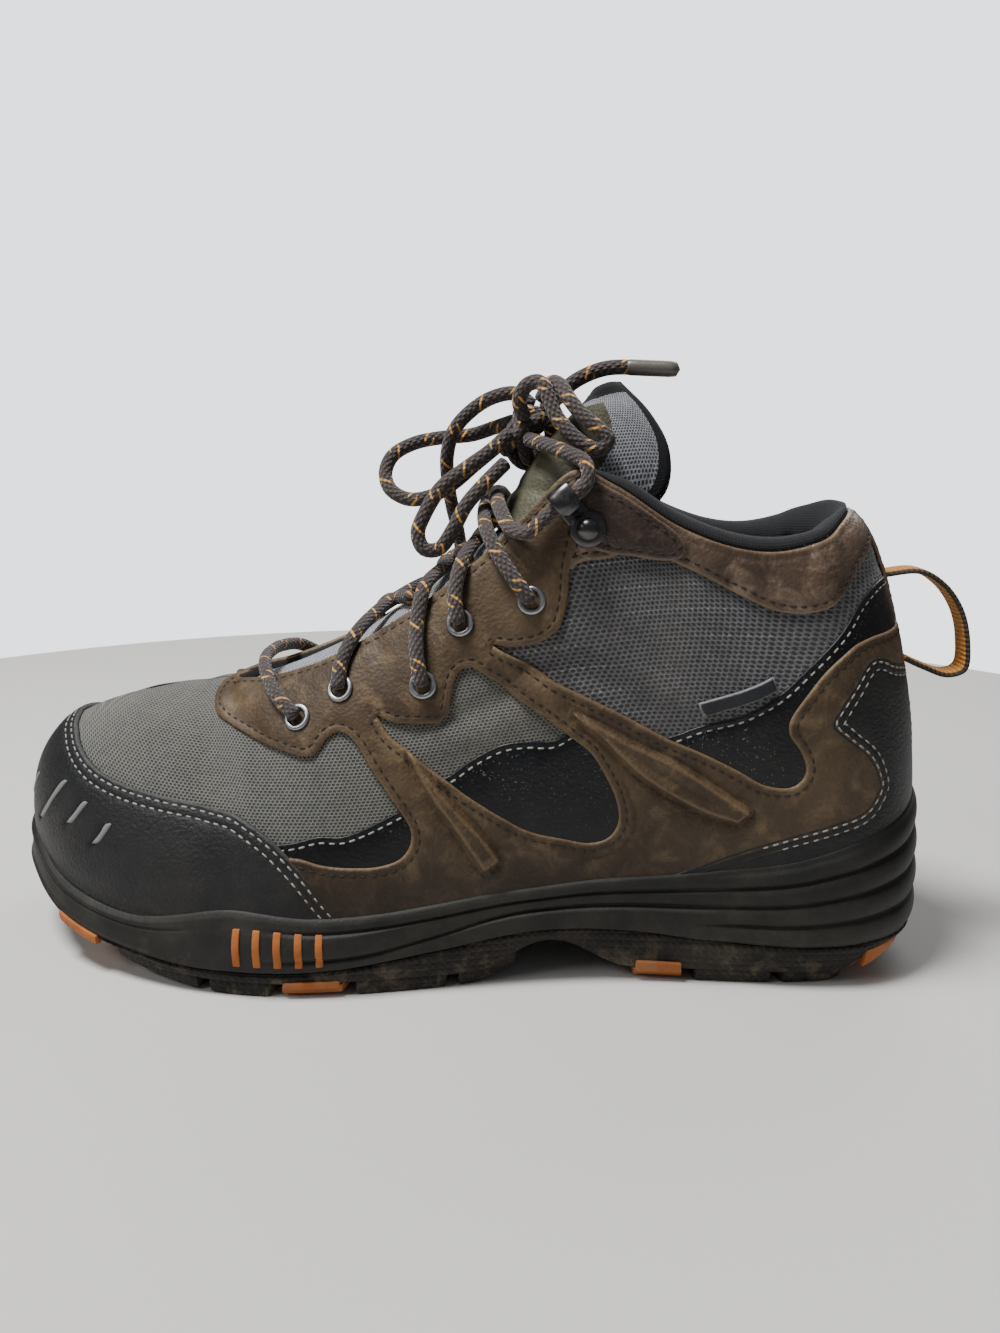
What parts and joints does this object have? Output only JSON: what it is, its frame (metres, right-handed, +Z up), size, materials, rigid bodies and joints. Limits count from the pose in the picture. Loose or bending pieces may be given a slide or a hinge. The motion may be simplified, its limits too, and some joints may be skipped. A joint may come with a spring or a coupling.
{
  "type": "hiking boot",
  "caption": "Worn, muddy ankle-high lace-up hiking boot with a toe cap, heel counter, padded collar and lugged two-part sole.",
  "frame": {"origin": "bottom centre of the boot's own box without its free lace: the floor under the middle of the sole", "axes": "+X to the toe, +Y to the outer side of the foot, +Z up"},
  "size_m": [0.3174, 0.1118, 0.191],
  "materials": {
    "upper_fabric": "worn brown nubuck over grey mesh, dusty",
    "sole_rubber": "matt dark grey-brown rubber with dried mud",
    "insole_cloth": "dark cloth-topped foam",
    "tongue_fabric": "padded grey mesh with a bound edge",
    "cap_rubber": "black rubberised leather, scuffed",
    "steel": "silver-grey plated metal",
    "orange_rubber": "orange rubber, dirty",
    "lace_cord": "round braided cord with orange flecks",
    "clear_plastic": "cloudy clear plastic",
    "webbing": "orange and dark woven webbing"
  },
  "bodies": {
    "root": {"aglet_1": "clear_plastic", "aglet_2": "clear_plastic", "eyelet_inner_1": "steel", "eyelet_inner_2": "steel", "eyelet_inner_3": "steel", "eyelet_inner_4": "steel", "eyelet_inner_5": "steel", "eyelet_outer_1": "steel", "eyelet_outer_2": "steel", "eyelet_outer_3": "steel", "eyelet_outer_4": "steel", "eyelet_outer_5": "steel", "heel_counter": "cap_rubber", "hook_inner": "steel", "hook_outer": "steel", "insole": "insole_cloth", "lace_bar": "lace_cord", "lace_crossing_1": "lace_cord", "lace_crossing_2": "lace_cord", "lace_crossing_3": "lace_cord", "lace_crossing_4": "lace_cord", "lace_end_1": "lace_cord", "lace_end_2": "lace_cord", "lace_knot": "lace_cord", "lace_loop_1": "lace_cord", "lace_loop_2": "lace_cord", "lace_loop_3": "lace_cord", "lug_insert_inner_1": "orange_rubber", "lug_insert_inner_2": "orange_rubber", "lug_insert_inner_3": "orange_rubber", "lug_insert_inner_4": "orange_rubber", "lug_insert_outer_1": "orange_rubber", "lug_insert_outer_2": "orange_rubber", "lug_insert_outer_3": "orange_rubber", "lug_insert_outer_4": "orange_rubber", "midsole": "sole_rubber", "outsole": "sole_rubber", "pull_loop": "webbing", "toe_cap": "cap_rubber", "tongue": "tongue_fabric", "upper": "upper_fabric"}
  },
  "joints": []
}
